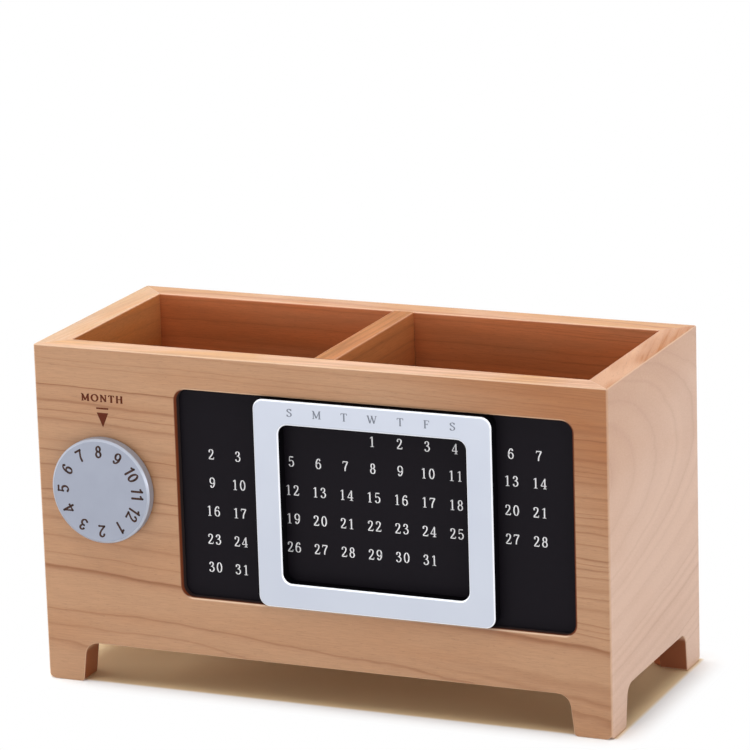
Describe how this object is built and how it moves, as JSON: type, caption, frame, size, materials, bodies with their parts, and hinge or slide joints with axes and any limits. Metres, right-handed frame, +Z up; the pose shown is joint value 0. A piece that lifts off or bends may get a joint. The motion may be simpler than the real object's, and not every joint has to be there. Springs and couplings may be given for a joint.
{
  "type": "desk calendar box",
  "caption": "Wooden desk box on four short legs with two open bays, a recessed date plate with a sliding weekday frame, and a turning month dial.",
  "frame": {"origin": "on the table, under the middle of the box and its dial taken together", "axes": "+X to the right as the dates are read, +Y from the front face to the back, +Z up"},
  "size_m": [0.2, 0.0892, 0.115],
  "materials": {
    "wood_front": "clear oiled cherry, grain along the board",
    "wood_rear": "clear oiled cherry, grain along the board",
    "wood_side": "clear oiled cherry, grain along the board",
    "wood_divider": "clear oiled cherry",
    "plywood": "thin cherry-faced plywood",
    "black_plate": "satin black paint with printed numbers",
    "tape": "clear adhesive film",
    "frame_metal": "fine bead-blasted and clear anodised, cut edges bright",
    "magnet": "nickel plated",
    "dial_metal": "turned, bead-blasted and clear anodised",
    "bush": "natural nylon",
    "felt": "pressed wool felt",
    "plated_steel": "zinc plated"
  },
  "bodies": {
    "case": {"front_board": "wood_front", "rear_board": "wood_rear", "left_board": "wood_side", "right_board": "wood_side", "divider": "wood_divider", "bottom_panel": "plywood", "date_plate": "black_plate", "plate_tape": "tape", "dial_bush": "bush", "friction_washer": "felt"},
    "frame": {"weekday_frame": "frame_metal", "frame_magnets": "magnet"},
    "dial": {"month_dial": "dial_metal", "retaining_washer": "plated_steel", "dial_screw": "plated_steel"}
  },
  "joints": [
    {"name": "weekday_slide", "type": "slide", "parent": "case", "child": "frame", "axis": [1, 0, 0], "range_m": [-0.02805, 0.02605]},
    {"name": "month_dial_turn", "type": "hinge", "parent": "case", "child": "dial", "pos_m": [-0.0756, -0.04035, 0.0679], "axis": [0, 1, 0], "continuous": true}
  ]
}
